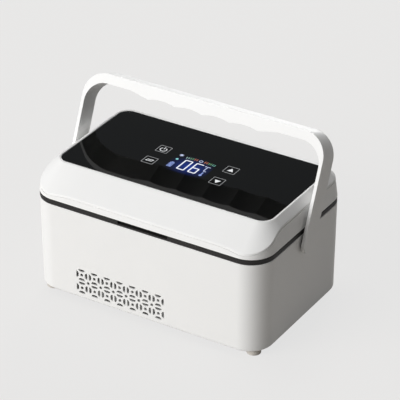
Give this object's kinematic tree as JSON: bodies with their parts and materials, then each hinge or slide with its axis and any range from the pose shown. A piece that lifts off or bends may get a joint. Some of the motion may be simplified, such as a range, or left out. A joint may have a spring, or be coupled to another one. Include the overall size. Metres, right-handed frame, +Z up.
{
  "type": "insulin cooling case",
  "caption": "Insulated portable medicine cooling case: box with coin-pattern vent, hinged lid with flush glass touch panel and display, and a carry handle that swings over the lid.",
  "frame": {"origin": "on the floor under the middle of the whole case, hinge barrels included", "axes": "+X to the right seen from the front, +Y to the back, +Z up"},
  "size_m": [0.2292, 0.143, 0.1632],
  "materials": {
    "white_abs": "moulded white ABS, satin gloss",
    "liner_plastic": "moulded white liner plastic",
    "charcoal_plastic": "moulded charcoal plastic",
    "panel_glass": "polished glass printed black on its back",
    "black_plastic": "moulded black plastic",
    "foot_rubber": "moulded pale grey rubber",
    "gasket_rubber": "soft black sealing strip",
    "pad_rubber": "conductive foam pad",
    "foam": "rigid insulating foam",
    "steel": "plated steel",
    "heat_sink_aluminium": "bare extruded aluminium",
    "ceramic": "white ceramic plates",
    "circuit_board": "green solder mask",
    "battery_sleeve": "blue shrink sleeve"
  },
  "bodies": {
    "base": {"base_shell": "white_abs", "bottom_cover": "white_abs", "fan_frame": "black_plastic", "heat_sink": "heat_sink_aluminium", "peltier_module": "ceramic", "cold_block": "heat_sink_aluminium", "battery_pack": "battery_sleeve", "power_board": "circuit_board", "dc_jack": "black_plastic", "temp_sensor": "black_plastic", "base_foam": "foam", "chamber_liner": "liner_plastic", "rim_frame": "charcoal_plastic", "foot_front_left": "foot_rubber", "foot_front_right": "foot_rubber", "foot_rear_left": "foot_rubber", "foot_rear_right": "foot_rubber", "cover_screw_front_left": "steel", "cover_screw_front_right": "steel", "cover_screw_rear_left": "steel", "cover_screw_rear_right": "steel", "base_magnet_left": "steel", "base_magnet_right": "steel", "hinge_pin_left": "steel", "hinge_pin_right": "steel", "pivot_bush_left": "black_plastic", "pivot_bush_right": "black_plastic"},
    "fan": {"fan_rotor": "black_plastic"},
    "lid": {"lid_shell": "white_abs", "glass_panel": "panel_glass", "lcd_module": "black_plastic", "touch_board": "circuit_board", "lid_foam": "foam", "lid_liner": "liner_plastic", "lid_gasket": "gasket_rubber", "touch_pad_power": "pad_rubber", "touch_pad_mode": "pad_rubber", "touch_pad_up": "pad_rubber", "touch_pad_down": "pad_rubber", "lid_magnet_left": "steel", "lid_magnet_right": "steel", "lid_screw_front_left": "steel", "lid_screw_front_right": "steel", "lid_screw_rear_left": "steel", "lid_screw_rear_right": "steel"},
    "handle": {"handle": "white_abs", "pivot_clip_left": "steel", "pivot_clip_right": "steel"}
  },
  "joints": [
    {"name": "lid_hinge", "type": "hinge", "parent": "base", "child": "lid", "pos_m": [0, 0.06945, 0.08925], "axis": [-1, 0, 0], "range_deg": [0, 32]},
    {"name": "handle_swing", "type": "hinge", "parent": "base", "child": "handle", "pos_m": [0, -0.00145, 0.0783], "axis": [1, 0, 0], "range_deg": [-82, 128]},
    {"name": "fan_spin", "type": "hinge", "parent": "base", "child": "fan", "pos_m": [-0.0223, -0.00145, 0.0116], "axis": [0, 0, 1], "continuous": true}
  ]
}
